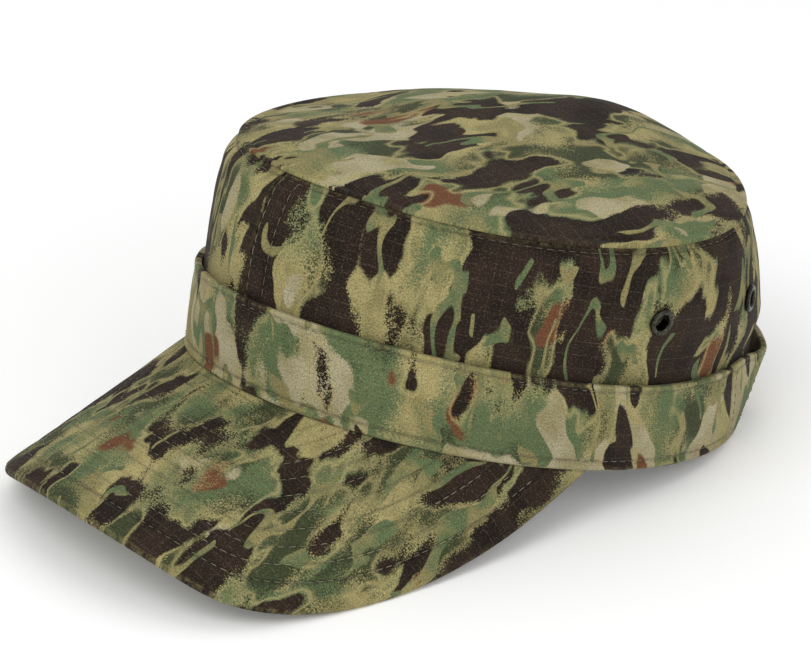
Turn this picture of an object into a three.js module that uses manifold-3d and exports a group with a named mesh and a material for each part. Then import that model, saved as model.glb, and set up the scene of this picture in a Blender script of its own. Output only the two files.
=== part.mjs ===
import * as THREE from "three";
import { mergeVertices } from "three/addons/utils/BufferGeometryUtils.js";
import Module from "manifold-3d";

// Patrol cap, in millimetres. +Z is up, the brim points along -Y and +X is the wearer's left.
// It is shaped upright on its band, then pitched back and lowered as it rests on a table.
// Angles are degrees round the head from the middle of the front, positive to the wearer's left.

// Band, measured outside
const bandWidth = 165.5;
const bandLength = 206;
const bandTopWidth = 172;
const bandTopLength = 210;
const bandHeight = 30.2;
const bandTopForward = 1.5;
const bandThickness = 2;
const bandBulge = 0.6;

// Crown
const crownHeight = 77;
const crownTopWidth = 163.5;
const crownTopLength = 187;
const crownForward = 3.8;
const wallThickness = 1.4;
const wallFullness = 2.8;
const hemRise = 1.5;
const topThickness = 1.4;
const topDome = 8.5;
const seamRidge = 0.9;
const sidePanelGap = 0.4;

// Brim
const brimLength = 69.5;
const brimThickness = 3;
const brimSlope = 31.75;
const brimReach = 79.4;
const brimSplay = 4;

// Rear opening and the strap across it, which carries on from the ends of the band
const openingWidth = 88;
const openingRise = 32;
const strapEndAngle = 120;
const strapEndSlant = 6.5;
const strapFreeAngle = 142;
const strapThickness = 2;
const strapNarrowing = 0.24;
const strapLean = 3.5;
const strapLeanFades = [136, 172];

// Eyelets
const eyeletDiameter = 9.2;
const eyeletHole = 5.2;
const eyeletBarrelWall = 0.4;
const eyeletDome = 1.1;
const eyeletWasherDiameter = 8;
const eyeletWasherThickness = 0.5;

// Fits
const clearance = 0.3;
const eyeletSeat = 0.45;
const restFlat = 0.8;

// Facets
const angleStep = 5;
const bandRows = 5;
const strapRows = 5;
const brimTurns = 48;
const brimRows = 8;
const eyeletSides = 20;
const archSegments = 24;

// Shape of the rims, in shares. wedge and square are shares of half the width, egg and flat of half the
// length, and tilt, saddle and ripple, which raise and lower the rim, of the crown's height.
const rimShapes = {
  band: { wedge: -0.031, square: 0.025, egg: -0.011, flat: 0, tilt: 0, saddle: 0.054, ripple: -0.008 },
  fold: { wedge: -0.041, square: 0.008, egg: 0, flat: -0.028, tilt: -0.009, saddle: 0.061, ripple: -0.006 },
  seam: { wedge: -0.006, square: -0.029, egg: -0.027, flat: 0, tilt: -0.052, saddle: 0.028, ripple: 0.012 },
};
function makeRim(width, length, height, forward, shape) {
  return { width, length, height, forward, ...shape };
}
const rims = {
  bandBottom: makeRim(bandWidth, bandLength, 0, 0, rimShapes.band),
  bandTop: makeRim(bandTopWidth, bandTopLength, bandHeight, bandTopForward, rimShapes.fold),
  topSeam: makeRim(crownTopWidth, crownTopLength, crownHeight, crownForward, rimShapes.seam),
};

// Soft dents in the side wall. level is 0 at the band's top edge and 1 at the top seam, and depth is a
// share of the crown's height.
const wallDents = [
  { angle: 178, level: 1.0, wide: 30, tall: 0.55, depth: 0.03 },
  { angle: 136, level: 0.95, wide: 24, tall: 0.42, depth: 0.036 },
  { angle: 62, level: 0.42, wide: 20, tall: 0.3, depth: 0.012 },
  { angle: 18, level: 0.6, wide: 11, tall: 0.45, depth: 0.01 },
  { angle: -34, level: 0.45, wide: 22, tall: 0.35, depth: 0.016 },
  { angle: -112, level: 0.7, wide: 24, tall: 0.35, depth: 0.02 },
  { angle: 140, level: 0.05, wide: 26, tall: 0.25, depth: -0.035 },
];

// Hollows and swells of the top panel. across and along are shares of half its width and half its length,
// reach is a share of half its width, and rise a share of the dome.
const topSwells = [
  { across: -0.12, along: 0.49, reach: 0.66, rise: 1.08 },
  { across: 0.27, along: 0.66, reach: 0.29, rise: -0.31 },
  { across: -0.41, along: 0.43, reach: 0.27, rise: -0.37 },
  { across: 0.42, along: -0.05, reach: 0.3, rise: 0.14 },
  { across: -0.1, along: -0.5, reach: 0.34, rise: -0.16 },
  { across: 0.13, along: 0.24, reach: 0.25, rise: -0.15 },
  { across: -0.76, along: -0.21, reach: 0.37, rise: -0.35 },
];

// The brim's length round the band is (1 - u^2)^corner * (1 + lean * u + full * u^2 + draw * u^4) of its
// length at the front, with u the share of its reach.
const brimOutline = { corner: 0.335, lean: 0.03, full: 1.1, draw: -0.38 };
const brimTip = { length: 2.2, turn: 34, wide: 12 };  // a little more length at both front corners

// Eyelets of the left side, which the right side mirrors. level is as for the dents.
const eyeletPlaces = [
  { name: "front", angle: 87, level: 0.49 },
  { name: "rear", angle: 120.3, level: 0.46 },
];

const colours = {
  side: 0x574c3c,
  top: 0x6d6b4d,
  band: 0x707a5a,
  brim: 0x62684a,
  strap: 0x6d7657,
  eyelet: 0x41463d,
};

const radians = THREE.MathUtils.degToRad;
const smooth = THREE.MathUtils.smoothstep;
const wasm = await Module();
wasm.setup();

// A point of a rim: an oval with two harmonics in each direction
function rimPoint(rim, angle) {
  const a = radians(angle);
  const x = (rim.width / 2) * (Math.sin(a) + rim.wedge * Math.sin(2 * a) + rim.square * Math.sin(3 * a));
  const oval = -Math.cos(a) + rim.egg * Math.cos(2 * a) + rim.flat * Math.cos(3 * a);
  const wave = rim.tilt * Math.cos(a) + rim.saddle * Math.cos(2 * a) + rim.ripple * Math.cos(3 * a);
  return new THREE.Vector3(x, (rim.length / 2) * oval - rim.forward, rim.height + crownHeight * wave);
}

// The horizontal direction that points away from the head at a rim
function rimOutward(rim, angle) {
  const tangent = rimPoint(rim, angle + 1).sub(rimPoint(rim, angle - 1));
  return new THREE.Vector3(tangent.y, -tangent.x, 0).normalize();
}

function outwardBetween(lower, upper, angle, share) {
  return rimOutward(lower, angle).lerp(rimOutward(upper, angle), share).normalize();
}

// How far the side wall is pushed in at an angle and level
function dentDepth(angle, level) {
  let depth = 0;
  for (const dent of wallDents) {
    const turn = THREE.MathUtils.euclideanModulo(angle - dent.angle + 180, 360) - 180;
    const away = (turn / dent.wide) ** 2 + ((level - dent.level) / dent.tall) ** 2;
    depth += dent.depth * crownHeight * Math.exp(-away);
  }
  return depth;
}

// The band's outer face moved out by a distance. share is 0 at its lower edge and 1 at its upper edge.
function bandPoint(angle, share, out) {
  const point = rimPoint(rims.bandBottom, angle).lerp(rimPoint(rims.bandTop, angle), share);
  const outward = outwardBetween(rims.bandBottom, rims.bandTop, angle, share);
  return point.addScaledVector(outward, bandBulge * Math.sin(Math.PI * share) + out);
}

// The crown's outer face: behind the band up to level 0, then rising to the top seam at level 1
const bandInset = bandThickness + clearance;
const wallTopDrop = topThickness + clearance;
function wallPoint(angle, level, out) {
  if (level <= 0) {
    const hemShare = hemRise / bandHeight;
    return bandPoint(angle, THREE.MathUtils.lerp(hemShare, 1, level + 1), out - bandInset);
  }
  const top = rimPoint(rims.topSeam, angle);
  top.z -= wallTopDrop;
  const point = rimPoint(rims.bandTop, angle).lerp(top, level);
  const swell = wallFullness * Math.sin(Math.PI * level ** 1.3) - bandInset * (1 - level) ** 2;
  const fade = smooth(level, 0, 0.25);
  const outward = outwardBetween(rims.bandTop, rims.topSeam, angle, level);
  return point.addScaledVector(outward, swell - dentDepth(angle, level) * fade + out);
}

// A closed solid between an outer and an inner surface, both over u and v from 0 to 1
function shell(outer, inner, uParts, vParts, { ring = false, pole = false } = {}) {
  const points = [];
  for (const surface of [outer, inner]) {
    for (let i = 0; i <= uParts; i += 1) {
      for (let j = 0; j <= vParts; j += 1) {
        points.push(...surface(i / uParts, j / vParts).toArray());
      }
    }
  }
  const row = vParts + 1;
  const layer = (uParts + 1) * row;
  const index = [];
  const quad = (a, b, c, d) => index.push(a, b, c, a, c, d);
  for (let i = 0; i < uParts; i += 1) {
    for (let j = 0; j < vParts; j += 1) {
      const a = i * row + j;
      quad(a, a + row, a + row + 1, a + 1);
      quad(layer + a, layer + a + 1, layer + a + row + 1, layer + a + row);
    }
    const low = i * row;
    const high = low + vParts;
    quad(low, layer + low, layer + low + row, low + row);
    if (!pole) {
      quad(high, high + row, layer + high + row, layer + high);
    }
  }
  for (let j = 0; j < vParts && !ring; j += 1) {
    const end = uParts * row + j;
    quad(j, j + 1, layer + j + 1, layer + j);
    quad(end, layer + end, layer + end + 1, end + 1);
  }
  return closedGeometry(points, index);
}

// Shared points are merged, and the triangles that this closes up are dropped.
function closedGeometry(points, index) {
  const raw = new THREE.BufferGeometry();
  raw.setAttribute("position", new THREE.Float32BufferAttribute(points, 3));
  raw.setIndex(index);
  const merged = mergeVertices(raw, 1e-3);
  const kept = [];
  const all = merged.index.array;
  for (let i = 0; i < all.length; i += 3) {
    const [a, b, c] = [all[i], all[i + 1], all[i + 2]];
    if (a !== b && b !== c && c !== a) {
      kept.push(a, b, c);
    }
  }
  merged.setIndex(kept);
  merged.computeVertexNormals();
  return merged;
}

function toSolid(geometry) {
  const bare = geometry.clone();
  bare.deleteAttribute("normal");
  bare.deleteAttribute("uv");
  const merged = mergeVertices(bare, 1e-4);
  const vertProperties = new Float32Array(merged.attributes.position.array);
  const triVerts = new Uint32Array(merged.index.array);
  return new wasm.Manifold(new wasm.Mesh({ numProp: 3, vertProperties, triVerts }));
}

function toGeometry(solid) {
  const mesh = solid.getMesh();
  const geometry = new THREE.BufferGeometry();
  geometry.setAttribute("position", new THREE.BufferAttribute(mesh.vertProperties, 3));
  geometry.setIndex(new THREE.BufferAttribute(mesh.triVerts, 1));
  geometry.computeVertexNormals();
  return geometry;
}

function cutAway(geometry, cutters) {
  let solid = toSolid(geometry);
  for (const cutter of cutters) {
    solid = solid.subtract(toSolid(cutter));
  }
  return toGeometry(solid);
}

// Side panels: one for each side of the head, from the front seam to the rear seam
const wallLevels = [-1, -0.5, -0.02, 0.06, 0.2, 0.36, 0.52, 0.68, 0.84, 0.94, 1];
function sidePanelGeometry(side) {
  const halfGap = THREE.MathUtils.radToDeg(sidePanelGap / bandLength);
  const from = side > 0 ? halfGap : -180 + halfGap;
  const angleAt = (u) => THREE.MathUtils.lerp(from, from + 180 - 2 * halfGap, u);
  const levelAt = (v) => wallLevels[Math.round(v * (wallLevels.length - 1))];
  const outer = (u, v) => wallPoint(angleAt(u), levelAt(v), 0);
  const inner = (u, v) => wallPoint(angleAt(u), levelAt(v), -wallThickness);
  return shell(outer, inner, 180 / angleStep, wallLevels.length - 1);
}

// Top panel: it rises from its rim to the dome, over a rim that stands a little proud of the wall
function topPoint(angle, share, drop) {
  const rim = wallPoint(angle, 1, 0);
  const centre = new THREE.Vector3(0, -crownForward, crownHeight);
  rim.z += wallTopDrop;
  const outward = rimOutward(rims.topSeam, angle);
  const edge = rim.clone().addScaledVector(outward, seamRidge);
  const point = centre.clone().lerp(edge, share);
  point.z = THREE.MathUtils.lerp(centre.z, rim.z, share ** 2) + topDome * (1 - share ** 3) - drop;
  for (const swell of topSwells) {
    const dx = (point.x / (crownTopWidth / 2) - swell.across) / swell.reach;
    const dy = ((point.y - centre.y) / (crownTopLength / 2) - swell.along) / swell.reach;
    point.z += topDome * swell.rise * Math.exp(-dx * dx - dy * dy) * (1 - share ** 8);
  }
  return point;
}
const topShares = [0, 0.2, 0.4, 0.6, 0.76, 0.88, 0.96, 1];
function topPanelGeometry() {
  const shareAt = (v) => topShares[Math.round((1 - v) * (topShares.length - 1))];
  const outer = (u, v) => topPoint(360 * u, shareAt(v), 0);
  const inner = (u, v) => topPoint(360 * u, shareAt(v), topThickness);
  return shell(outer, inner, 360 / angleStep, topShares.length - 1, { ring: true, pole: true });
}

// Where the strap takes over from the band, which slants down and back
const strapGap = THREE.MathUtils.radToDeg((2 * clearance) / bandLength);
function strapEnd(share) {
  return strapEndAngle + strapEndSlant * (0.5 - share);
}

// Band: from one end of the strap round the front to the other
function bandGeometry() {
  const angleAt = (u, v) => (2 * u - 1) * (strapEnd(v) - strapGap);
  const outer = (u, v) => bandPoint(angleAt(u, v), v, 0);
  const inner = (u, v) => bandPoint(angleAt(u, v), v, -bandThickness);
  return shell(outer, inner, Math.round((2 * strapEndAngle) / angleStep), bandRows);
}

// Rear opening: straight sides up to the band's upper edge and a half oval above
function openingGeometry() {
  const half = openingWidth / 2;
  const spring = bandHeight;
  const shape = new THREE.Shape();
  shape.moveTo(-half, -crownHeight);
  shape.lineTo(half, -crownHeight);
  shape.lineTo(half, spring);
  shape.absellipse(0, spring, half, openingRise, 0, Math.PI, false);
  shape.closePath();
  const depth = bandLength;
  const settings = { depth, curveSegments: archSegments, bevelEnabled: false };
  const geometry = new THREE.ExtrudeGeometry(shape, settings);
  geometry.rotateX(Math.PI / 2);
  geometry.translate(0, depth, 0);
  return geometry;
}

// Rear strap: it is as high as the band at its ends and narrower behind, where its upper edge leans away
// from the crown. Most of the narrowing is at the upper edge.
function strapPoint(angle, share, out) {
  const turn = 180 - Math.abs(angle - 180);
  const free = smooth(turn, strapEndAngle, strapFreeAngle);
  const low = 0.3 * strapNarrowing * smooth(turn, strapFreeAngle, 180);
  const high = 1 - 0.7 * strapNarrowing * free;
  const aside = free * (1 - smooth(turn, ...strapLeanFades));
  return bandPoint(angle, THREE.MathUtils.lerp(low, high, share), strapLean * share * aside + out);
}
function strapGeometry() {
  const angleAt = (u, v) => THREE.MathUtils.lerp(strapEnd(v), 360 - strapEnd(v), u);
  const outer = (u, v) => strapPoint(angleAt(u, v), v, 0);
  const inner = (u, v) => strapPoint(angleAt(u, v), v, -strapThickness);
  return shell(outer, inner, Math.round((360 - 2 * strapEndAngle) / angleStep), strapRows);
}

// Brim: straight lines run forward and down from the band's lower edge, their length set by the outline.
// turn goes from -90 at its right end to 90 at its left end, and share from 0 at the band to 1 at the edge.
function brimPoint(turn, share, down) {
  const u = Math.sin(radians(turn));
  const angle = brimReach * u;
  const heading = radians(brimSplay * u);
  const slope = radians(brimSlope);
  const level = Math.cos(slope);
  const along = new THREE.Vector3(Math.sin(heading) * level, -Math.cos(heading) * level, -Math.sin(slope));
  const fullness = 1 + brimOutline.lean * u + brimOutline.full * u ** 2 + brimOutline.draw * u ** 4;
  const power = Math.max(1 - u * u, 0) ** brimOutline.corner;
  const tip = brimTip.length * Math.exp(-(((Math.abs(turn) - brimTip.turn) / brimTip.wide) ** 2));
  const length = brimLength * power * fullness + tip * Math.min(4 * power, 1);
  const tangent = rimPoint(rims.bandBottom, angle + 1).sub(rimPoint(rims.bandBottom, angle - 1));
  const up = along.clone().cross(tangent).normalize();
  const point = rimPoint(rims.bandBottom, angle);
  point.z -= clearance;
  return point.addScaledVector(along, length * share).addScaledVector(up, -down);
}
function brimGeometry() {
  const outer = (u, v) => brimPoint(180 * u - 90, 1 - v, 0);
  const inner = (u, v) => brimPoint(180 * u - 90, 1 - v, brimThickness);
  return shell(outer, inner, brimTurns, brimRows);
}

// Eyelet: a domed ring outside the cloth, a barrel through it and a flat washer inside
const barrelRadius = eyeletHole / 2 + eyeletBarrelWall;
function eyeletGeometry() {
  const hole = eyeletHole / 2;
  const edge = eyeletDiameter / 2;
  const washerTop = -wallThickness - eyeletSeat;
  const washerBottom = washerTop - eyeletWasherThickness;
  const profile = [
    [hole, washerBottom],
    [eyeletWasherDiameter / 2, washerBottom],
    [eyeletWasherDiameter / 2, washerTop],
    [barrelRadius, washerTop],
    [barrelRadius, eyeletSeat],
    [edge, eyeletSeat],
    [edge - 0.1 * eyeletDome, eyeletSeat + 0.55 * eyeletDome],
    [(edge + barrelRadius) / 2, eyeletSeat + eyeletDome],
    [barrelRadius, eyeletSeat + 0.8 * eyeletDome],
    [hole, eyeletSeat + 0.3 * eyeletDome],
    [hole, washerBottom],
  ];
  const geometry = new THREE.LatheGeometry(profile.map(([x, y]) => new THREE.Vector2(x, y)), eyeletSides);
  geometry.rotateX(Math.PI / 2);
  return geometry;
}

// Where an eyelet sits and which way it faces
function eyeletPose(place, side) {
  const angle = side * place.angle;
  const centre = wallPoint(angle, place.level, 0);
  const along = wallPoint(angle + 2, place.level, 0).sub(wallPoint(angle - 2, place.level, 0));
  const rise = wallPoint(angle, place.level + 0.05, 0).sub(wallPoint(angle, place.level - 0.05, 0));
  const normal = along.cross(rise).normalize();
  const turn = new THREE.Quaternion().setFromUnitVectors(new THREE.Vector3(0, 0, 1), normal);
  return { centre, turn };
}
function eyeletHoleGeometry(place, side) {
  const { centre, turn } = eyeletPose(place, side);
  const radius = barrelRadius + clearance;
  const hole = new THREE.CylinderGeometry(radius, radius, eyeletDiameter, eyeletSides);
  hole.rotateX(Math.PI / 2);
  hole.applyQuaternion(turn);
  hole.translate(centre.x, centre.y, centre.z);
  return hole;
}

// The pitch at which the brim's lowest points and the band's rear edge touch the same level
function restingPitch(points) {
  let pitch = 0;
  for (let pass = 0; pass < 12; pass += 1) {
    const height = (point) => point.z * Math.cos(pitch) - point.y * Math.sin(pitch);
    const lowest = (list) => list.reduce((best, point) => (height(point) < height(best) ? point : best));
    const front = lowest(points.filter((point) => point.y < 0));
    const rear = lowest(points.filter((point) => point.y >= 0));
    pitch = Math.atan2(rear.z - front.z, rear.y - front.y);
  }
  return pitch;
}

function pointsOf(geometry) {
  const position = geometry.attributes.position;
  const pointAt = (_, i) => new THREE.Vector3().fromBufferAttribute(position, i);
  return Array.from({ length: position.count }, pointAt);
}

const opening = openingGeometry();
const standing = {
  band: bandGeometry(),
  brim: brimGeometry(),
  rear_strap: strapGeometry(),
  top_panel: topPanelGeometry(),
};
for (const [word, side] of [["left", 1], ["right", -1]]) {
  const holes = eyeletPlaces.map((place) => eyeletHoleGeometry(place, side));
  standing[`side_panel_${word}`] = cutAway(sidePanelGeometry(side), [opening, ...holes]);
}

// Cloth that meets the table is flattened there.
const touching = [standing.band, standing.brim, standing.rear_strap].flatMap(pointsOf);
const restPitch = restingPitch(touching);
const restTurn = new THREE.Matrix4().makeRotationX(-restPitch);
const lowestHeight = Math.min(...touching.map((point) => point.applyMatrix4(restTurn).z));
const tableHeight = lowestHeight + restFlat;
const table = new THREE.BoxGeometry(2 * bandLength, 3 * bandLength, bandLength);
table.translate(0, 0, tableHeight - bandLength / 2);
table.applyMatrix4(restTurn.clone().invert());
for (const name of ["band", "brim", "rear_strap", "side_panel_left", "side_panel_right"]) {
  standing[name] = cutAway(standing[name], [table]);
}

function cloth(colour) {
  return new THREE.MeshStandardMaterial({ color: colour, roughness: 0.9, metalness: 0 });
}
const finishes = {
  band: cloth(colours.band),
  brim: cloth(colours.brim),
  rear_strap: cloth(colours.strap),
  top_panel: cloth(colours.top),
  side_panel_left: cloth(colours.side),
  side_panel_right: cloth(colours.side),
  eyelet: new THREE.MeshStandardMaterial({ color: colours.eyelet, roughness: 0.35, metalness: 0.9 }),
};

const pitched = new THREE.Group();
pitched.rotation.x = -restPitch;
for (const [name, geometry] of Object.entries(standing)) {
  const piece = new THREE.Mesh(geometry, finishes[name]);
  piece.name = name;
  pitched.add(piece);
}
for (const [word, side] of [["left", 1], ["right", -1]]) {
  for (const place of eyeletPlaces) {
    const { centre, turn } = eyeletPose(place, side);
    const eyelet = new THREE.Mesh(eyeletGeometry(), finishes.eyelet);
    eyelet.name = `eyelet_${word}_${place.name}`;
    eyelet.position.copy(centre);
    eyelet.quaternion.copy(turn);
    pitched.add(eyelet);
  }
}

// The origin is on the table, in the middle of the cap's outline from above.
const cap = new THREE.Group();
cap.add(pitched);
cap.updateMatrixWorld(true);
const outline = new THREE.Box3().setFromObject(cap, true);
const middle = outline.getCenter(new THREE.Vector3());
pitched.position.set(-middle.x, -middle.y, -tableHeight);
cap.updateMatrixWorld(true);

export default cap;
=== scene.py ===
import math

import bmesh
import bpy
import numpy as np
from mathutils import Matrix


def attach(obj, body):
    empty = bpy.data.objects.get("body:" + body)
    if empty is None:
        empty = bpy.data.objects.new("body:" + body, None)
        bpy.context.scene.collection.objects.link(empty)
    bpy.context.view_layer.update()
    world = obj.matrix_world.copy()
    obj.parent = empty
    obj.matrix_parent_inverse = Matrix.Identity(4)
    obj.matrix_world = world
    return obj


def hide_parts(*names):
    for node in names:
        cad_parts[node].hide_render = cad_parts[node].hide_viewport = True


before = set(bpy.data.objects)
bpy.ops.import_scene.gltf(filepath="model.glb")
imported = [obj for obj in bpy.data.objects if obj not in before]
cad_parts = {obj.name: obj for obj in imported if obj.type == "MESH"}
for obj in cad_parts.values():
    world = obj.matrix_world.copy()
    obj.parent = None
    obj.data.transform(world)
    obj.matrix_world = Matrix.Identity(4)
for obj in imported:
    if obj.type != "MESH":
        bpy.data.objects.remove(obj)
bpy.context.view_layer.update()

mm = 0.001

# Rims of the cap in millimetres, brim towards -Y. Shares bend each oval, as in the CAD model.
rimTable = {
    "band": {"width": 165.5, "length": 206.0, "height": 0.0, "forward": 0.0, "wedge": -0.031,
             "square": 0.025, "egg": -0.011, "flat": 0.0, "tilt": 0.0, "saddle": 0.054, "ripple": -0.008},
    "fold": {"width": 172.0, "length": 210.0, "height": 30.2, "forward": 1.5, "wedge": -0.041,
             "square": 0.008, "egg": 0.0, "flat": -0.028, "tilt": -0.009, "saddle": 0.061, "ripple": -0.006},
    "seam": {"width": 163.5, "length": 187.0, "height": 77.0, "forward": 3.8, "wedge": -0.006,
             "square": -0.029, "egg": -0.027, "flat": 0.0, "tilt": -0.052, "saddle": 0.028, "ripple": 0.012},
}
crownHeight = rimTable["seam"]["height"]
bandHeight = rimTable["fold"]["height"]
clearance = 0.3
# how the cap sits on the table, and how far over the table cloth is flattened
rest = {"pitch": 13.4065, "shift": (-0.1606, 28.1431, 17.4666), "flat": 0.05}


def unit(v):
    return v / np.linalg.norm(v, axis=-1, keepdims=True)


# value noise: smooth blends between random numbers on a unit lattice
def latticeNoise(p, seed):
    base = np.floor(p)
    part = p - base
    part = part * part * part * (part * (part * 6 - 15) + 10)
    total = np.zeros(p.shape[:-1])
    for corner in np.ndindex(2, 2, 2):
        c = np.array(corner)
        key = (base + c) @ np.array([127.1, 311.7, 74.7]) + 17.3 * seed
        value = np.modf(np.abs(np.sin(key)) * 43758.5453)[0]
        total += value * np.prod(np.where(c == 1, part, 1 - part), axis=-1)
    return total * 2 - 1


def softNoise(p, size, seed, octaves=2):
    total = 0
    for k in range(octaves):
        total = total + latticeNoise(p / size * 2 ** k, seed + 5 * k) / 2 ** k
    return total


def smoothStep(x, low, high):
    t = np.clip((x - low) / (high - low), 0, 1)
    return t * t * (3 - 2 * t)


# oval with overtones: x from sines, y from cosines, z a wave round the rim
def rimCurve(name, angle):
    r = rimTable[name]
    a = np.radians(angle)
    x = r["width"] / 2 * (np.sin(a) + r["wedge"] * np.sin(2 * a) + r["square"] * np.sin(3 * a))
    y = r["length"] / 2 * (-np.cos(a) + r["egg"] * np.cos(2 * a) + r["flat"] * np.cos(3 * a)) - r["forward"]
    wave = r["tilt"] * np.cos(a) + r["saddle"] * np.cos(2 * a) + r["ripple"] * np.cos(3 * a)
    return np.stack([x, y, r["height"] + crownHeight * wave], axis=-1)


# the level direction square to the rim, away from the head
def rimOutward(name, angle):
    t = rimCurve(name, angle + 1) - rimCurve(name, angle - 1)
    return unit(np.stack([t[..., 1], -t[..., 0], 0 * t[..., 0]], axis=-1))


# straight line between two rims, moved out along their blended outward direction
def betweenRims(low, high, angle, share, out, drop=0):
    s = share[..., None]
    top = rimCurve(high, angle) - np.array([0, 0, drop])
    normal = unit(rimOutward(low, angle) * (1 - s) + rimOutward(high, angle) * s)
    return rimCurve(low, angle) * (1 - s) + top * s + normal * out[..., None]


# bell-shaped weight of a turn away from an angle, in degrees
def turnBell(angle, middle, wide):
    return np.exp(-(((angle - middle + 180) % 360 - 180) / wide) ** 2)


# Meshes

# cap frame in mm to the table frame in metres: pitch back about X, then shift
def settle(p):
    c, s = math.cos(math.radians(rest["pitch"])), math.sin(math.radians(rest["pitch"]))
    x, y, z = p[..., 0], p[..., 1], p[..., 2]
    q = np.stack([x, y * c + z * s, z * c - y * s], axis=-1) + np.array(rest["shift"])
    q[..., 2] = np.maximum(q[..., 2], rest["flat"])
    return q * mm


def addMesh(name, points, faces, uv=None, fields=None, merge=0.0):
    mesh = bpy.data.meshes.new(name)
    mesh.from_pydata(points.tolist(), [], faces)
    if uv is not None:
        layer = mesh.uv_layers.new(name="cloth")
        index = np.empty(len(mesh.loops), dtype=np.int64)
        mesh.loops.foreach_get("vertex_index", index)
        layer.data.foreach_set("uv", uv[index].astype(np.float32).ravel())
    for key, values in (fields or {}).items():
        mesh.attributes.new(key, "FLOAT", "POINT").data.foreach_set("value", values.astype(np.float32))
    if merge:
        bm = bmesh.new()
        bm.from_mesh(mesh)
        bmesh.ops.remove_doubles(bm, verts=bm.verts, dist=merge)
        bm.to_mesh(mesh)
        bm.free()
    mesh.polygons.foreach_set("use_smooth", np.ones(len(mesh.polygons), dtype=bool))
    piece = bpy.data.objects.new(name, mesh)
    bpy.context.scene.collection.objects.link(piece)
    return piece


# faces of a closed piece turned to look outwards
def turnOut(piece):
    bm = bmesh.new()
    bm.from_mesh(piece.data)
    bmesh.ops.recalc_face_normals(bm, faces=bm.faces)
    bm.to_mesh(piece.data)
    bm.free()


# quads of a grid of rows i and columns j; a wrapped direction joins its last line to its first
def gridFaces(rows, columns, wrapRows=False, wrapColumns=False):
    i = np.arange(rows if wrapRows else rows - 1)[:, None]
    j = np.arange(columns if wrapColumns else columns - 1)[None, :]
    i2, j2 = (i + 1) % rows, (j + 1) % columns
    corner = [i * columns + j, i2 * columns + j, i2 * columns + j2, i * columns + j2]
    return np.stack(np.broadcast_arrays(*corner), axis=-1).reshape(-1, 4)


def finishPiece(piece, slot, material, *nodes):
    piece.data.materials.append(material)
    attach(piece, "root")
    if nodes:
        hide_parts(*nodes)
    return piece


# length along an axis of a grid of points
def runLength(p, axis):
    step = np.linalg.norm(np.diff(p, axis=axis), axis=-1)
    total = np.cumsum(step, axis=axis)
    start = np.zeros_like(np.take(total, [0], axis=axis))
    return np.concatenate([start, total], axis=axis)


# Shader maths: a socket that adds Math nodes when it is used in an expression

class Wire:
    def __init__(self, tree, socket=None):
        self.tree = tree
        self.socket = socket

    # any node: settings first, then the values or links of its sockets
    def make(self, kind, settings, inputs, output=0):
        node = self.tree.nodes.new("ShaderNode" + kind)
        for key, value in settings.items():
            if key == "stops":
                ramp = node.color_ramp
                while len(ramp.elements) < len(value):
                    ramp.elements.new(0.5)
                for element, (place, colour) in zip(ramp.elements, value):
                    element.position = place
                    element.color = colour
            else:
                setattr(node, key, value)
        for key, value in inputs.items():
            if isinstance(value, Wire):
                self.tree.links.new(value.socket, node.inputs[key])
            else:
                node.inputs[key].default_value = value
        return Wire(self.tree, node.outputs[output] if node.outputs else None)

    def maths(self, operation, *others):
        return self.make("Math", {"operation": operation}, dict(enumerate((self,) + others)))

    def __add__(self, other):
        return self.maths("ADD", other)

    def __sub__(self, other):
        return self.maths("SUBTRACT", other)

    def __rsub__(self, other):
        return self.make("Math", {"operation": "SUBTRACT"}, {0: other, 1: self})

    def __mul__(self, other):
        return self.maths("MULTIPLY", other)

    def __truediv__(self, other):
        return self.maths("DIVIDE", other)

    def __rtruediv__(self, other):
        return self.make("Math", {"operation": "DIVIDE"}, {0: other, 1: self})

    __radd__ = __add__
    __rmul__ = __mul__

    # 0 below low, 1 above high, smooth between
    def step(self, low, high):
        inputs = {"Value": self, "From Min": low, "From Max": high, "To Min": 0.0, "To Max": 1.0}
        return self.make("MapRange", {"interpolation_type": "SMOOTHSTEP", "clamp": True}, inputs)

    # exp(-(x / width)^2)
    def bell(self, width):
        scaled = self / width
        return (scaled * scaled * -1.0).maths("EXPONENT")

    # self is the factor between two colours
    def mix(self, first, second, blend="MIX"):
        settings = {"data_type": "RGBA", "blend_type": blend}
        return self.make("Mix", settings, {0: self, 6: first, 7: second}, 2)

    def noise(self, size, detail=2.0, rough=0.5, output=0):
        inputs = {"Vector": self, "Scale": 1.0 / size, "Detail": detail, "Roughness": rough}
        return self.make("TexNoise", {"noise_dimensions": "3D"}, inputs, output)

    # height is in millimetres
    def bump(self, height, strength):
        return self.make("Bump", {}, {"Strength": strength, "Distance": mm, "Height": height})

    def part(self, axis):
        return self.make("SeparateXYZ", {}, {0: self}, "XYZ".index(axis))

    def vector(self, operation, other):
        return self.make("VectorMath", {"operation": operation}, {0: self, 1: other})


def colour(red, green, blue):
    def linear(c):
        c = c / 255
        return c / 12.92 if c <= 0.04045 else ((c + 0.055) / 1.055) ** 2.4
    return (linear(red), linear(green), linear(blue), 1.0)


def newMaterial(name):
    material = bpy.data.materials.new(name)
    material.use_nodes = True
    material.node_tree.nodes.clear()
    return material, Wire(material.node_tree)


def closeMaterial(wire, inputs):
    shader = wire.make("BsdfPrincipled", {}, inputs)
    wire.make("OutputMaterial", {}, {"Surface": shader})


# Printed cloth

cloth = {
    "khaki": colour(136, 127, 84),
    "straw": colour(164, 153, 104),
    "green": colour(92, 107, 72),
    "moss": colour(58, 65, 41),
    "stone": colour(172, 163, 133),
    "brown": colour(49, 36, 28),
    "umber": colour(31, 23, 17),
    "rust": colour(106, 68, 44),
    "grain": 0.55,      # size of the ink's grain, mm
    "thread": 0.70,     # thread pitch, mm
    "ripstop": 4.7,     # spacing of the ripstop lines, mm
}


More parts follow.
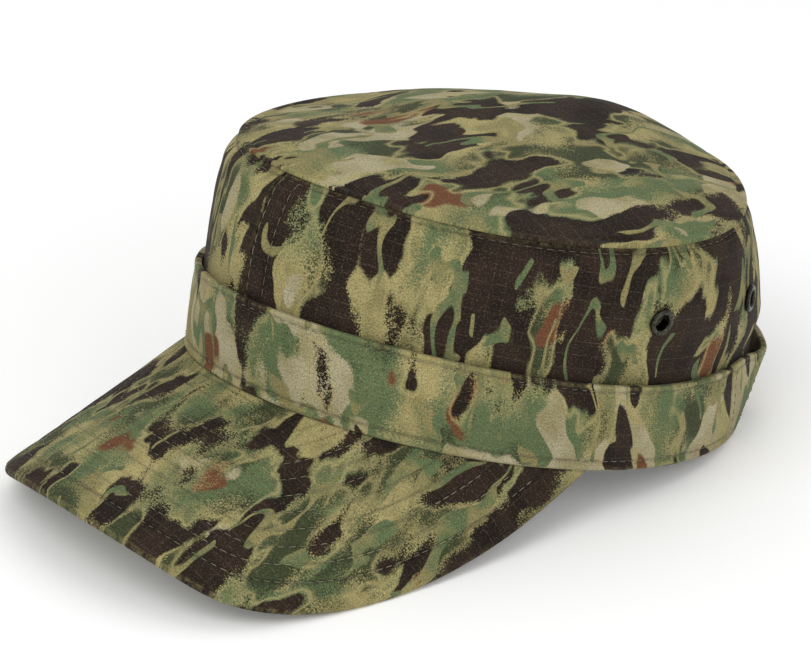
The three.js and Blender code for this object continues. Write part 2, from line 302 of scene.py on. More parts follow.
# camouflage: khaki ground sprayed with green and moss, then stone, rust and brown brush marks with crisp
# or sprayed edges, then thin strips. A mark is where a bent noise field, shaken by ink grain, passes its
# cover: mask = smoothstep(field + grain - cover) over a narrow or a wide edge.
def printColour(p, cover, shift):
    p = p.vector("ADD", (shift, shift * 0.37, shift * 0.11))
    shake = p.noise(cloth["grain"], 2.0, 0.7) - 0.5
    sprayed = p.noise(38.0, 1.0).step(0.47, 0.60)
    grain = shake * (sprayed * 0.30 + 0.03)
    drift = p.noise(24.0, 1.0, 0.5, 1).vector("SUBTRACT", (0.5, 0.5, 0.5))
    bent = p.vector("ADD", drift.vector("MULTIPLY", (13.0, 13.0, 0.0)))
    size = cover["size"]

    def marks(scale, turn, stretch, detail, plane):
        settings = {"Vector": bent, "Location": (0.0, 0.0, plane), "Rotation": (0.0, 0.0, turn),
                    "Scale": (1.0, stretch, 1.0)}
        return bent.make("Mapping", {"vector_type": "POINT"}, settings).noise(scale, detail, 0.5)

    def passes(field, tone, edge):
        return field.step(cover[tone] - edge, cover[tone] + edge)

    greenMask = passes(marks(size * 1.5, 0.4, 0.6, 2.0, 31.0) + shake * 0.40, "green", 0.06)
    mossMask = passes(marks(size * 1.1, -0.5, 0.5, 2.0, 77.0) + shake * 0.44, "moss", 0.05)
    stoneMask = passes(marks(size, 1.1, 0.55, 1.6, 140.0) + grain * 0.5, "stone", 0.01)
    rustMask = passes(marks(size * 1.5, 0.9, 0.6, 1.5, 210.0) + grain * 0.5, "rust", 0.01)
    brownField = marks(size, 0.7, 0.42, 2.6, 0.0) + grain * 0.7
    brownMask = passes(brownField, "brown", 0.008)
    rim = (brownField - (cover["brown"] - 0.03)).bell(0.016)
    strip = (marks(size * 1.3, 0.5, 0.30, 2.0, 350.0) - 0.5).bell(0.020)
    strip = strip * p.noise(23.0, 1.0).step(0.46, 0.49)

    tint = p.noise(15.0, 3.0)
    result = tint.step(0.35, 0.65).mix(cloth["khaki"], cloth["straw"])
    result = greenMask.mix(result, cloth["green"])
    result = mossMask.mix(result, cloth["moss"])
    result = stoneMask.mix(result, tint.step(0.3, 0.8).mix(cloth["stone"], cloth["khaki"]))
    result = rustMask.mix(result, cloth["rust"])
    result = (rim * 0.7).mix(result, cloth["straw"])
    result = brownMask.mix(result, tint.step(0.35, 0.65).mix(cloth["umber"], cloth["brown"]))
    return strip.step(0.35, 0.65).mix(result, tint.step(0.4, 0.6).mix(cloth["khaki"], cloth["green"]))


# cloth: the print times thread shading and ink grain, paler on ripstop lines and worn folds, and darkened by
# painted shade in each stitch groove; height = threads + slubs + ripstop lines, with a groove under each row
# of stitches
def clothMaterial(name, cover, shift, wear=0.5, rows=None):
    material, wire = newMaterial(name)
    uv = wire.make("UVMap", {"uv_map": "cloth"}, {})
    p = uv.vector("MULTIPLY", (1000.0, 1000.0, 0.0))
    base = printColour(p, cover, shift)
    turn = 2 * math.pi / cloth["thread"]
    wander = p.noise(9.0, 1.0) * 2.6
    warp = (p.part("X") * turn + wander).maths("SINE")
    weft = (p.part("Y") * turn + wander).maths("SINE")
    weave = warp * weft * 0.5 + (warp + weft) * 0.15
    across = (p.part("X") / cloth["ripstop"]).maths("PINGPONG", 0.5).bell(0.033)
    along = (p.part("Y") / cloth["ripstop"]).maths("PINGPONG", 0.5).bell(0.036)
    broken = p.noise(1.1, 2.0, 0.7).step(0.40, 0.62)
    rip = along.maths("MAXIMUM", across * 0.7) * broken
    slub = p.vector("MULTIPLY", (0.30, 2.6, 1.0)).noise(0.8, 2.0, 0.7) - 0.5
    grit = p.noise(0.60, 2.0, 0.8) - 0.5

    edge = wire.make("Attribute", {"attribute_name": "edge"}, {}, 2)
    stitch = wire.make("Attribute", {"attribute_name": "stitch"}, {}, 2)
    groove = stitch.bell(0.6)
    if rows:
        gap = ((stitch - rows["first"]) / rows["pitch"] + 0.5).maths("FRACT") - 0.5
        groove = (gap * rows["pitch"]).bell(0.45) * stitch.step(rows["first"] - 2.0, rows["first"] - 1.0)
        groove = groove + (stitch - rows["first"] + 0.3).bell(0.6)  # the border row is drawn deepest
    rubbed = edge.bell(0.9) * p.noise(2.6, 3.0, 0.7).step(0.38, 0.66) * wear

    # painted shade: groove * 0.18 darkens the print along each stitch groove, where shade falls in the recess
    shade = 1.0 + weave * 0.24 + grit * 2.30 + slub * 0.70 + rip * 0.10 - groove * 0.18
    shade = shade * (p.noise(48.0, 2.0) * 0.20 + 0.90)
    grey = wire.make("CombineXYZ", {}, {"X": shade, "Y": shade, "Z": shade})
    lit = base.vector("MULTIPLY", grey)
    lit = (rubbed * 0.5).mix(lit, cloth["straw"])
    lit = (rip * 0.11 + (grit + 0.04).step(0.08, 0.26) * 0.16).mix(lit, cloth["stone"])

    height = weave * 0.04 + grit * 0.08 + slub * 0.05 + rip * 0.05
    fine = wire.bump(height, 0.9)
    normal = wire.make("Bump", {}, {"Strength": 1.0, "Distance": mm, "Height": groove * -0.25,
                                    "Normal": fine})
    rough = 0.86 + slub * 0.1 - rubbed * 0.08
    closeMaterial(wire, {"Base Color": lit, "Roughness": rough, "Normal": normal, "Sheen Weight": 0.02,
                         "Sheen Roughness": 0.5, "Specular IOR Level": 0.15})
    return material


# sewing thread: a twisted cord, so stripes wind round it
def threadMaterial(name, tone):
    material, wire = newMaterial(name)
    p = wire.make("TexCoord", {}, {}, 3).vector("MULTIPLY", (1000.0, 1000.0, 1000.0))
    twist = ((p.part("X") + p.part("Y") * 0.7 + p.part("Z")) * 14.0).maths("SINE")
    patch = p.noise(14.0, 2.0).step(0.3, 0.7)
    fuzz = p.noise(0.25, 2.0)
    base = patch.mix(tone, colour(104, 99, 74))
    base = (twist.step(0.2, 1.0) * 0.3).mix(base, cloth["moss"])
    normal = wire.bump(twist * 0.03 + fuzz * 0.04, 0.8)
    closeMaterial(wire, {"Base Color": base, "Roughness": 0.6 + fuzz * 0.2, "Normal": normal,
                         "Sheen Weight": 0.2})
    return material


# eyelet metal: dark plating, rubbed bright and brassy on the high rim, with fine scratches and dull spots
def metalMaterial(name):
    material, wire = newMaterial(name)
    p = wire.make("TexCoord", {}, {}, 3).vector("MULTIPLY", (1000.0, 1000.0, 1000.0))
    high = wire.make("Attribute", {"attribute_name": "edge"}, {}, 2)
    spots = p.noise(0.9, 3.0, 0.65)
    scratch = p.vector("MULTIPLY", (0.4, 2.5, 2.5)).noise(0.5, 2.0, 0.7).step(0.58, 0.66)
    rubbed = high.step(0.45, 0.95) * spots.step(0.35, 0.6)
    base = spots.mix(colour(20, 22, 17), colour(42, 44, 36))
    base = (rubbed * 0.35).mix(base, colour(120, 118, 100))
    base = (scratch * 0.3).mix(base, colour(104, 102, 86))
    normal = wire.bump(spots * 0.04 - scratch * 0.02, 0.5)
    rough = 0.30 - rubbed * 0.10 + spots * 0.10
    closeMaterial(wire, {"Base Color": base, "Metallic": 0.95, "Roughness": rough, "Normal": normal})
    return material


print("materials")
crownCover = {"size": 17.0, "brown": 0.47, "green": 0.54, "moss": 0.58, "stone": 0.66, "rust": 0.66}
topCover = {"size": 18.0, "brown": 0.54, "green": 0.50, "moss": 0.54, "stone": 0.58, "rust": 0.69}
bandCover = {"size": 16.0, "brown": 0.57, "green": 0.50, "moss": 0.60, "stone": 0.53, "rust": 0.66}
brimCover = {"size": 15.0, "brown": 0.54, "green": 0.50, "moss": 0.52, "stone": 0.68, "rust": 0.69}
quilt = {"first": 9.6, "pitch": 5.8, "rows": 8}
leftCloth = clothMaterial("cloth_side_left", crownCover, 12.0)
rightCloth = clothMaterial("cloth_side_right", crownCover, 431.0)
topCloth = clothMaterial("cloth_top", topCover, 163.0, wear=0.12)
bandCloth = clothMaterial("cloth_band", bandCover, 262.0)
strapCloth = clothMaterial("cloth_strap", bandCover, 377.0)
brimCloth = clothMaterial("cloth_brim", brimCover, 541.0, rows=quilt)
paleThread = threadMaterial("thread_pale", colour(140, 134, 108))
seamThread = threadMaterial("thread_seam", colour(108, 102, 78))
brimThread = threadMaterial("thread_brim", colour(168, 160, 128))
eyeletMetal = metalMaterial("metal_eyelet")


# Side wall

wall = {
    "thickness": 1.4, "fullness": 2.8, "hemRise": 1.5, "bandThickness": 2.0, "topThickness": 1.4,
    "columns": 260, "rowsBehindBand": 12, "rows": 56,
    "tuck": 1.02,           # level of the last row, which goes up into the top seam
    "seamHalfGap": 0.01, "feltWidth": 8.2, "feltRise": 0.45,
}
# fuller cloth just under the top seam on the wearer's right, drawn in at the seam itself
shoulder = {"angle": -75, "wide": 40, "more": 0.8, "level": 0.87, "tall": 0.08, "rise": 0.55,
            "drawnFrom": 0.9, "drawn": 0.9}
wallDents = [
    {"angle": 178, "level": 1.0, "wide": 30, "tall": 0.55, "depth": 0.03},
    {"angle": 136, "level": 0.95, "wide": 24, "tall": 0.42, "depth": 0.036},
    {"angle": 62, "level": 0.42, "wide": 20, "tall": 0.3, "depth": 0.012},
    {"angle": 18, "level": 0.6, "wide": 11, "tall": 0.45, "depth": 0.01},
    {"angle": -34, "level": 0.45, "wide": 22, "tall": 0.35, "depth": 0.016},
    {"angle": -112, "level": 0.7, "wide": 24, "tall": 0.35, "depth": 0.02},
    {"angle": 140, "level": 0.05, "wide": 26, "tall": 0.25, "depth": -0.035},
]
opening = {"width": 88.0, "rise": 32.0}
bandInset = wall["bandThickness"] + clearance
wallDrop = wall["topThickness"] + clearance


# band's outer face: line between its rims plus a slight bulge
def bandSurface(angle, share, out):
    return betweenRims("band", "fold", angle, share, out + 0.6 * np.sin(np.pi * share))


# sum of bell-shaped dents in angle and level
def dentDepth(angle, level):
    depth = 0
    for dent in wallDents:
        away = ((level - dent["level"]) / dent["tall"]) ** 2
        bell = turnBell(angle, dent["angle"], dent["wide"]) * np.exp(-away)
        depth = depth + dent["depth"] * crownHeight * bell
    return depth


# behind the band below level 0, then a line to the top seam with fullness and dents
def wallSurface(angle, level, out):
    angle, level, out = np.broadcast_arrays(angle * 1.0, level, out)
    hem = wall["hemRise"] / bandHeight
    lower = bandSurface(angle, hem + (1 - hem) * (np.minimum(level, 0) + 1), out - bandInset)
    up = np.clip(level, 0, wall["tuck"])
    share = np.minimum(up, 1)
    swell = wall["fullness"] * np.sin(np.pi * share ** 1.3) - bandInset * (1 - share) ** 2
    swell = swell - dentDepth(angle, level) * smoothStep(up, 0, 0.25)
    round_ = shoulder["rise"] * np.exp(-((up - shoulder["level"]) / shoulder["tall"]) ** 2)
    round_ = round_ - shoulder["drawn"] * smoothStep(up, shoulder["drawnFrom"], 1)
    swell = swell + round_ * (1 + shoulder["more"] * turnBell(angle, shoulder["angle"], shoulder["wide"]))
    upper = betweenRims("fold", "seam", angle, up, swell + out, wallDrop)
    return np.where((level > 0)[..., None], upper, lower)


# soft rumples, drawn seams and puckers, in mm outwards
def wallRumple(angle, level, p):
    free = smoothStep(level, 0.02, 0.3) * (1 - 0.55 * smoothStep(level, 0.8, 1.0))
    stretched = p * np.array([1, 1, 0.6])
    rumple = free * (0.75 * softNoise(stretched, 34.0, 3) + 0.22 * softNoise(stretched, 11.0, 9))
    side = np.abs(p[..., 0])
    front = (np.abs((angle + 180) % 360 - 180) < 40) * smoothStep(level, 0.0, 0.04)
    rear = (np.abs((angle + 180) % 360 - 180) > 140) * smoothStep(level, 0.0, 0.04)
    joint = -0.9 * np.exp(-(side / 0.7) ** 2)
    felt = wall["feltRise"] * smoothStep(-p[..., 0], -wall["feltWidth"] - 0.8, -wall["feltWidth"] + 0.4)
    felt = felt * smoothStep(p[..., 0], 0.3, 1.4)
    pucker = 0.16 * softNoise(p * np.array([0.35, 0.35, 1.0]), 3.6, 21) * np.exp(-((side - 4.5) / 5.5) ** 2)
    rumple = rumple + front * (joint + felt + pucker) + rear * (joint + pucker)
    topEdge = np.exp(-((1 - level) * 46 / 3.2) ** 2)
    alongSeam = 0.28 * softNoise(p * np.array([1, 1, 0.2]), 6.0, 33, 2)
    return rumple + topEdge * (alongSeam - 0.15) * (level > 0.5)


def drapedWall(angle, level, out=0.0):
    flat = wallSurface(angle, level, np.zeros_like(angle + level))
    return wallSurface(angle, level, wallRumple(angle + 0 * level, level + 0 * angle, flat) + out)


eyelet = {"diameter": 9.2, "hole": 5.2, "barrelWall": 0.4, "dome": 1.1, "washer": 8.0, "washerThickness": 0.5,
          "seat": 0.45, "sides": 56}
eyeletPlaces = [("front", 87.0, 0.49), ("rear", 120.3, 0.46)]


# an eyelet's centre and the wall's outward direction there
def eyeletPose(angle, level):
    a, h = np.array([angle]), np.array([level])
    zero = np.zeros(1)
    centre = wallSurface(a, h, zero)[0]
    along = wallSurface(a + 2, h, zero)[0] - wallSurface(a - 2, h, zero)[0]
    rise = wallSurface(a, h + 0.05, zero)[0] - wallSurface(a, h - 0.05, zero)[0]
    return centre, unit(np.cross(along, rise))


# below zero inside the rear opening: straight sides up to the band's top, a half oval above
def insideOpening(p):
    half = opening["width"] / 2
    above = np.maximum(p[..., 2] - bandHeight, 0)
    arch = (np.sqrt((p[..., 0] / half) ** 2 + (above / opening["rise"]) ** 2) - 1) * half
    value = np.where(p[..., 2] < bandHeight, np.abs(p[..., 0]) - half, arch)
    return np.where(p[..., 1] > 0, value, 50.0)


def insideHoles(p, side):
    value = np.full(p.shape[:-1], 50.0)
    for _, angle, level in eyeletPlaces:
        centre, normal = eyeletPose(side * angle, level)
        away = p - centre
        radial = away - (away @ normal)[..., None] * normal
        radius = eyelet["hole"] / 2 + eyelet["barrelWall"] + clearance
        value = np.minimum(value, np.linalg.norm(radial, axis=-1) - radius)
    return value


# side panel: a grid whose cells inside an opening are dropped, with the cut edge slid onto its outline
def makeSidePanel(word, side, material):
    gap = math.degrees(wall["seamHalfGap"] / (rimTable["band"]["length"] / 2))
    angle = side * np.linspace(gap, 180 - gap, wall["columns"])[:, None]
    level = np.concatenate([np.linspace(-1, 0, wall["rowsBehindBand"], endpoint=False),
                            np.linspace(0, 1, wall["rows"]), [wall["tuck"]]])[None, :]
    a, h = [x.copy() for x in np.broadcast_arrays(angle, level)]

    def outline(aa, hh):
        p = wallSurface(aa, hh, np.zeros_like(aa))
        return np.minimum(insideOpening(p), insideHoles(p, side))

    faces = gridFaces(*a.shape)
    value = outline(a, h).ravel()
    kept = value[faces].mean(axis=1) > 0
    border = np.intersect1d(faces[kept], faces[~kept])
    aa, hh = a.ravel()[border], h.ravel()[border]
    for _ in range(6):
        f = outline(aa, hh)
        da = (outline(aa + 0.05, hh) - outline(aa - 0.05, hh)) / 0.1
        dh = (outline(aa, hh + 0.002) - outline(aa, hh - 0.002)) / 0.004
        push = f / (da ** 2 + (dh / 30) ** 2 + 1e-6)
        aa = aa - np.clip(push * da, -0.6, 0.6)
        hh = hh - np.clip(push * dh / 900, -0.02, 0.02)
    a.ravel()[border] = aa
    h.ravel()[border] = hh
    p = drapedWall(a, h)
    around = runLength(wallSurface(a, np.full_like(a, 0.5), np.zeros_like(a)), 0)
    up = runLength(p, 1)
    up = up - up[:, wall["rowsBehindBand"]:wall["rowsBehindBand"] + 1]
    uv = np.stack([around, up], axis=-1).reshape(-1, 2) * mm
    height = (up[:, -2:-1] - up).ravel()
    stitch = np.minimum(np.abs(height - topStitch["below"]), 30)
    front = np.abs(p[..., 0].ravel()) + 100 * (p[..., 1].ravel() > 0)
    if side > 0:
        for at in frontStitch["rows"]:
            stitch = np.minimum(stitch, np.abs(front - at) + 100 * (p[..., 1].ravel() > 0))
    edge = np.minimum(height, front)
    used = np.unique(faces[kept])
    index = np.full(a.size, -1)
    index[used] = np.arange(len(used))
    quads = index[faces[kept]]
    if side < 0:
        quads = quads[:, ::-1]
    points = settle(p.reshape(-1, 3)[used])
    fields = {"stitch": stitch[used], "edge": edge[used]}
    piece = addMesh("side_cloth_" + word, points, quads.tolist(), uv[used], fields)
    solid = piece.modifiers.new("thickness", "SOLIDIFY")
    solid.thickness = wall["thickness"] * mm
    solid.offset = -1
    return finishPiece(piece, "crown_cloth", material, "side_panel_" + word)


topStitch = {"below": 1.9, "length": 2.7, "gap": 1.1, "radius": 0.12}
frontStitch = {"rows": (1.5, 8.0), "length": 2.8, "gap": 1.2, "radius": 0.12}
print("side walls")
makeSidePanel("left", 1, leftCloth)
makeSidePanel("right", -1, rightCloth)


# Top panel

top = {"dome": 8.5, "ridge": 0.4, "thickness": 1.4, "rows": 64, "columns": 400, "under": 24}
topSwells = [
    {"across": -0.12, "along": 0.49, "reach": 0.66, "rise": 1.08},
    {"across": 0.27, "along": 0.66, "reach": 0.29, "rise": -0.31},
    {"across": -0.41, "along": 0.43, "reach": 0.27, "rise": -0.37},
    {"across": 0.42, "along": -0.05, "reach": 0.3, "rise": 0.14},
    {"across": -0.1, "along": -0.5, "reach": 0.34, "rise": -0.16},
    {"across": 0.13, "along": 0.24, "reach": 0.25, "rise": -0.15},
    {"across": -0.76, "along": -0.21, "reach": 0.37, "rise": -0.35},
]


# from the middle to the rim: dome (1 - share^3), bell-shaped swells, a sewn dip just inside the ridge
def topSurface(angle, share):
    rimPoint = wallSurface(angle, np.ones_like(angle), np.zeros_like(angle))
    rimPoint[..., 2] += wallDrop
    rimPoint = rimPoint + rimOutward("seam", angle) * top["ridge"]
    middle = np.array([0.0, -rimTable["seam"]["forward"], crownHeight])
    p = middle + (rimPoint - middle) * share[..., None]
    height = crownHeight + (rimPoint[..., 2] - crownHeight) * share ** 2 + top["dome"] * (1 - share ** 3)
    for swell in topSwells:
        dx = (p[..., 0] / (rimTable["seam"]["width"] / 2) - swell["across"]) / swell["reach"]
        dy = ((p[..., 1] - middle[1]) / (rimTable["seam"]["length"] / 2) - swell["along"]) / swell["reach"]
        height = height + top["dome"] * swell["rise"] * np.exp(-dx ** 2 - dy ** 2) * (1 - share ** 8)
    inset = (1 - share) * np.linalg.norm((rimPoint - middle)[..., :2], axis=-1)
    free = smoothStep(inset, 2, 26)
    flat = p * np.array([1, 1, 0])
    height = height + free * (0.9 * softNoise(flat, 42.0, 51) + 0.3 * softNoise(flat, 15.0, 57))
    a = np.radians(angle)
    radial = np.stack([np.sin(a) * 40, np.cos(a) * 40, inset * 0.12], axis=-1)
    pucker = np.exp(-(inset / 9) ** 2) * smoothStep(inset, 0.5, 2.5)
    height = height + 0.30 * softNoise(radial, 2.6, 61) * pucker
    height = height - 0.55 * np.exp(-((inset - 2.2) / 0.9) ** 2)
    p[..., 2] = height
    return p, inset


def makeTopPanel():
    angle = np.linspace(0, 360, top["columns"], endpoint=False)[:, None]
    share = 1 - (1 - np.linspace(0, 1, top["rows"])) ** 1.5
    share = np.concatenate([[0.0], share[1:]])[None, :]
    a, s = np.broadcast_arrays(angle, share)
    upper, inset = topSurface(a, s)
    lip = np.radians(np.linspace(20, 160, 8))[None, :, None]
    half = top["thickness"] / 2
    outward = rimOutward("seam", angle[:, 0])[:, None, :]
    centre = upper[:, -1:, :] - np.array([0, 0, half])
    turned = centre + outward * half * np.sin(lip) * 0.9 + np.array([0, 0, half]) * np.cos(lip)
    below = 1 - (1 - np.linspace(0, 1, top["under"])) ** 1.5
    under, _ = topSurface(*np.broadcast_arrays(angle, below[None, ::-1]))
    under = under - np.array([0, 0, top["thickness"]])
    p = np.concatenate([upper, turned, under], axis=1)
    flatEdge = np.concatenate([inset, np.zeros(turned.shape[:2]), np.full(under.shape[:2], 20.0)], axis=1)
    faces = gridFaces(*p.shape[:2], wrapRows=True)
    uv = p[..., :2].reshape(-1, 2) * mm
    fields = {"stitch": np.full(flatEdge.size, 30.0), "edge": flatEdge.ravel()}
    piece = addMesh("top_cloth", settle(p.reshape(-1, 3)), faces[:, ::-1].tolist(), uv, fields, merge=1e-6)
    return finishPiece(piece, "top_cloth", topCloth, "top_panel")


print("top panel")
makeTopPanel()


# Band and strap: a thin closed outline carried round the head

# outline of a folded strip: outer face, rounded fold, inner face, rounded fold; share up, out in mm
def foldedOutline(width, thickness, rows, proud=0.0, bead=0.0):
    face = np.linspace(0, 1, rows)
    turn = np.radians(np.linspace(0, 180, 9)[1:-1])
    radius = thickness / 2
    rise = np.sin(turn) * radius / width
    out = -radius + np.cos(turn) * radius
    share = np.concatenate([face, 1 + rise * 0.6, face[::-1], -rise * 0.6])
    depth = np.concatenate([0 * face, out, 0 * face - thickness, -thickness - out])
    swell = proud * np.exp(-((1 - share) / 0.05) ** 2) + bead * np.exp(-((share - 0.02) / 0.025) ** 2)
    swell = swell - 0.8 * bead * np.exp(-((share - 0.075) / 0.02) ** 2)
    return share, depth + swell * (depth > -radius)


# ends close to nothing over one thickness, as a fold does
def endPinch(count, run, thickness):
    to = np.minimum(run, run[-1] - run)
    return np.sqrt(1 - (1 - np.clip(to / (0.5 * thickness), 0, 1)) ** 2).reshape(count, 1)


def stripPiece(name, surface, place, span, share, depth, thickness, material, slot, node, rows, merge=1e-6):
    middle = -thickness / 2
    run = runLength(surface(place(span, 0.5 + 0 * span), 0.5 + 0 * span, 0 * span), 0)
    pinch = endPinch(len(run), run, thickness)
    u, s = np.broadcast_arrays(span[:, None], share[None, :])
    p = surface(place(u, s), s, middle + (depth[None, :] - middle) * pinch)
    up = runLength(p, 1)
    outer = rows - 1
    across = np.where(np.arange(len(share))[None, :] <= outer, up, 2 * up[:, outer:outer + 1] - up)
    uv = np.stack([np.broadcast_to(run[:, None], across.shape), across], axis=-1).reshape(-1, 2) * mm
    height = up[:, outer:outer + 1]
    stitch = np.minimum(np.abs(across - bandStitch["low"]), np.abs(across - height + bandStitch["high"]))
    edge = np.minimum(np.abs(across), np.abs(height - across))
    faces = gridFaces(*p.shape[:2], wrapColumns=True)
    fields = {"stitch": stitch.ravel(), "edge": edge.ravel()}
    piece = addMesh(name, settle(p.reshape(-1, 3)), faces.tolist(), uv, fields, merge)
    return finishPiece(piece, slot, material, node)


band = {"thickness": 2.0, "rows": 62, "columns": 380, "proud": 0.35, "bead": 0.35, "puff": 0.3}
bandStitch = {"low": 3.2, "high": 1.7, "length": 2.7, "gap": 1.1, "radius": 0.12}
strap = {"end": 120.0, "slant": 6.5, "gap": 0.17, "free": 142.0, "narrowing": 0.24, "lean": 3.5,
         "thickness": 2.0, "leanRises": (127.0, 141.0), "leanFades": (138.0, 164.0), "rows": 22,
         "columns": 240}


# soft waves of the band, small at its lower edge
def bandWaves(p, share):
    return (0.30 * softNoise(p, 26.0, 71) + 0.12 * softNoise(p, 8.0, 75)) * (0.4 + 0.6 * share)


def drapedBand(angle, share, out):
    flat = bandSurface(angle, share, out * 0)
    return bandSurface(angle, share, out + band["puff"] + bandWaves(flat, share))


# the strap takes over from the band along a line that slants down and back
def strapEnd(share):
    return strap["end"] + strap["slant"] * (0.5 - share)


# as high as the band at its ends, narrower behind; its upper edge leans away from the crown at each side
def strapSurface(angle, share, out):
    turn = 180 - np.abs(angle - 180)
    free = smoothStep(turn, strap["end"], strap["free"])
    low = 0.3 * strap["narrowing"] * smoothStep(turn, strap["free"], 180)
    high = 1 - 0.7 * strap["narrowing"] * free
    level = low + (high - low) * share
    flat = bandSurface(angle, level, 0 * angle)
    aside = smoothStep(turn, *strap["leanRises"]) * (1 - smoothStep(turn, *strap["leanFades"]))
    stand = strap["lean"] * share * aside + band["puff"]
    return bandSurface(angle, level, stand + out + bandWaves(flat, level))


# span runs from -1 to 1 along each strip
def bandPlace(u, share):
    return u * (strapEnd(share) - strap["gap"])


def strapPlace(u, share):
    return 180 + u * (180 - strapEnd(share))


# an even span with a few more columns close to both ends
def strapSpan(columns):
    near = 1 - np.array([0.0002, 0.0008, 0.002, 0.004, 0.007])
    return np.sort(np.concatenate([np.linspace(-1, 1, columns), near, -near]))


print("band and strap")
bandShare, bandDepth = foldedOutline(bandHeight, band["thickness"], band["rows"], band["proud"],
                                     band["bead"])
stripPiece("band_cloth", drapedBand, bandPlace, strapSpan(band["columns"]), bandShare, bandDepth,
           band["thickness"], bandCloth, "band_cloth", "band", band["rows"])
strapShare, strapDepth = foldedOutline(bandHeight, strap["thickness"], strap["rows"])
stripPiece("strap_cloth", strapSurface, strapPlace, strapSpan(strap["columns"]), strapShare, strapDepth,
           strap["thickness"], strapCloth, "strap_cloth", "rear_strap", strap["rows"])


# Brim

brim = {"length": 69.5, "thickness": 3.0, "slope": 31.75, "reach": 79.4, "splay": 4.0, "corner": 0.335,
        "lean": 0.03, "full": 1.1, "draw": -0.38, "tip": 2.2, "tipTurn": 34.0, "tipWidth": 12.0,
        "columns": 320, "rows": 96, "underRows": 30}


# rulings: start on the band's lower rim and run along one slope; length = 1 - u^2 to a power times a
# polynomial, plus a small bell where the sewn edge is fuller at each front corner
def brimRulings(turn):
    u = np.sin(np.radians(turn))
    heading, slope = np.radians(brim["splay"] * u), math.radians(brim["slope"])
    along = np.stack([np.sin(heading) * math.cos(slope), -np.cos(heading) * math.cos(slope),
                      -math.sin(slope) + 0 * u], axis=-1)
    angle = brim["reach"] * u
    root = rimCurve("band", angle) - np.array([0, 0, clearance])
    tangent = rimCurve("band", angle + 1) - rimCurve("band", angle - 1)
    up = unit(np.cross(along, tangent))
    power = np.maximum(1 - u * u, 0) ** brim["corner"]
    length = brim["length"] * power * (1 + brim["lean"] * u + brim["full"] * u ** 2 + brim["draw"] * u ** 4)
    tip = brim["tip"] * np.exp(-((np.abs(turn) - brim["tipTurn"]) / brim["tipWidth"]) ** 2)
    return root, along, up, length + tip * np.minimum(power * 4, 1)


# the brim unrolled flat: distance across the rulings, and along them from the middle of the front
brimTurns = np.linspace(-90, 90, 1441)
rootCurve, alongCurve, upCurve, lengthCurve = brimRulings(brimTurns)
stepCurve = np.gradient(rootCurve, axis=0)
crossStep = stepCurve - (stepCurve * alongCurve).sum(axis=1, keepdims=True) * alongCurve
flatAcross = np.cumsum(np.linalg.norm(crossStep, axis=1))
flatAcross = flatAcross - np.interp(0, brimTurns, flatAcross)
flatRoot = np.cumsum((stepCurve * alongCurve).sum(axis=1))
flatRoot = flatRoot - np.interp(0, brimTurns, flatRoot)
flatEdge = np.stack([flatAcross, flatRoot + lengthCurve], axis=-1)


# shortest way in the unrolled brim from points to its outer edge
def edgeDistance(flat):
    line = flatEdge[::3]
    gap = np.empty(len(flat))
    for start in range(0, len(flat), 4000):
        part = flat[start:start + 4000]
        gap[start:start + 4000] = np.sqrt(((part[:, None] - line[None]) ** 2).sum(axis=-1).min(axis=1))
    return gap


# quilting: the cloth swells a little between the stitched rows
def quiltSwell(gap):
    wave = np.abs(np.sin(np.pi * (gap - quilt["first"]) / quilt["pitch"]))
    inner = quilt["first"] + quilt["pitch"] * (quilt["rows"] - 1)
    border = 0.5 * np.sin(np.pi * np.clip(gap / quilt["first"], 0, 1)) ** 0.6
    return np.where(gap < quilt["first"], border, 0.34 * wave ** 0.7 * (gap < inner))


def brimPoints(turn, run, down):
    root, along, up, _ = brimRulings(turn)
    p = root + along * run[..., None]
    wave = 0.5 * softNoise(p, 48.0, 81) * smoothStep(run, 4, 30)
    return p + up * (wave - down)[..., None]


def makeBrim():
    turn = np.linspace(-90, 90, brim["columns"])[:, None]
    _, _, _, length = brimRulings(turn[:, 0])
    radius = np.minimum(brim["thickness"] / 2, length / 2)[:, None]
    share = 1 - (1 - np.linspace(0, 1, brim["rows"])) ** 1.15
    topRun = (length[:, None] - radius) * share[None, :]
    round_ = np.radians(np.linspace(0, 180, 11)[1:-1])[None, :]
    half = brim["thickness"] / 2
    roundRun = length[:, None] - radius + radius * np.sin(round_)
    roundDown = half - half * np.cos(round_) + 0 * radius
    under = np.linspace(1, 0, brim["underRows"])[None, :]
    lowRun = (length[:, None] - radius) * under
    run = np.concatenate([topRun, roundRun, lowRun], axis=1)
    flat = np.stack([np.interp(turn + 0 * run, brimTurns, flatAcross),
                     np.interp(turn + 0 * run, brimTurns, flatRoot) + run], axis=-1)
    gap = edgeDistance(flat.reshape(-1, 2)).reshape(run.shape)
    down = np.concatenate([-quiltSwell(gap[:, :brim["rows"]]) * smoothStep(topRun, 0.5, 5), roundDown,
                           np.full_like(lowRun, brim["thickness"])], axis=1)
    p = brimPoints(turn + 0 * run, run, down)
    faces = gridFaces(*p.shape[:2], wrapColumns=True)
    uv = flat.reshape(-1, 2) * mm
    # seen from above the border rolls over the edge, so the print carries on below it
    fields = {"stitch": gap.ravel(), "edge": np.concatenate([gap[:, :brim["rows"]], 0 * roundRun,
                                                            gap[:, -brim["underRows"]:]], axis=1).ravel()}
    piece = addMesh("brim_cloth", settle(p.reshape(-1, 3)), faces[:, ::-1].tolist(), uv, fields, merge=1e-6)
    return finishPiece(piece, "brim_cloth", brimCloth, "brim")


print("brim")
makeBrim()


# Stitches: short bent rods of thread that dip into the cloth at both ends

